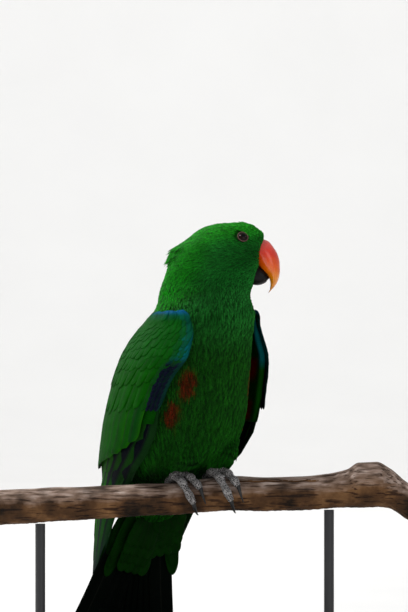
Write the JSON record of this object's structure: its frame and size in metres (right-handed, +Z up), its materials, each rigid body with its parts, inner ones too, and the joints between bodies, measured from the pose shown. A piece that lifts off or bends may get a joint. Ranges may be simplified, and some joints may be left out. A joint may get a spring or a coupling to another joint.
{
  "type": "display model of a male eclectus parrot",
  "caption": "Life-size still model of a green male eclectus parrot gripping a short branch, held over a flat base by rods, for shelves, exhibits and scenes.",
  "frame": {"origin": "middle of the underside of the whole part's box, which is the underside of the stand's base", "axes": "+Z up, the breast looks to -Y and a little to +X, the head is turned to +X, the branch runs along X"},
  "size_m": [0.336, 0.176, 0.3576],
  "materials": {
    "green_head": "dense soft bright green feathers",
    "green_body": "soft dark green feathers",
    "green_wing": "smooth green vanes with a turquoise bend and dark violet-black edge",
    "black_tail": "smooth near-black vanes",
    "bill_orange": "glossy horn, red at the base to yellow-orange at the tip",
    "bill_black": "satin black horn",
    "eye_dark": "wet dark brown eye",
    "scale_grey": "dull grey scaly skin",
    "claw_black": "satin black horn",
    "bark": "rough grey-brown bark, smoother and paler on top",
    "stand_paint": "satin dark grey paint"
  },
  "bodies": {
    "root": {"head": "green_head", "neck": "green_head", "torso": "green_body", "thigh_left": "green_body", "thigh_right": "green_body", "wing_left": "green_wing", "wing_right": "green_wing", "tail": "black_tail", "bill_upper": "bill_orange", "bill_lower": "bill_black", "eye_left": "eye_dark", "eye_right": "eye_dark", "foot_left": "scale_grey", "foot_right": "scale_grey", "claw_left_front_inner": "claw_black", "claw_left_front_outer": "claw_black", "claw_left_rear_inner": "claw_black", "claw_left_rear_outer": "claw_black", "claw_right_front_inner": "claw_black", "claw_right_front_outer": "claw_black", "claw_right_rear_inner": "claw_black", "claw_right_rear_outer": "claw_black", "perch": "bark", "stand_base": "stand_paint", "stand_rod_left": "stand_paint", "stand_rod_right": "stand_paint"}
  },
  "joints": []
}
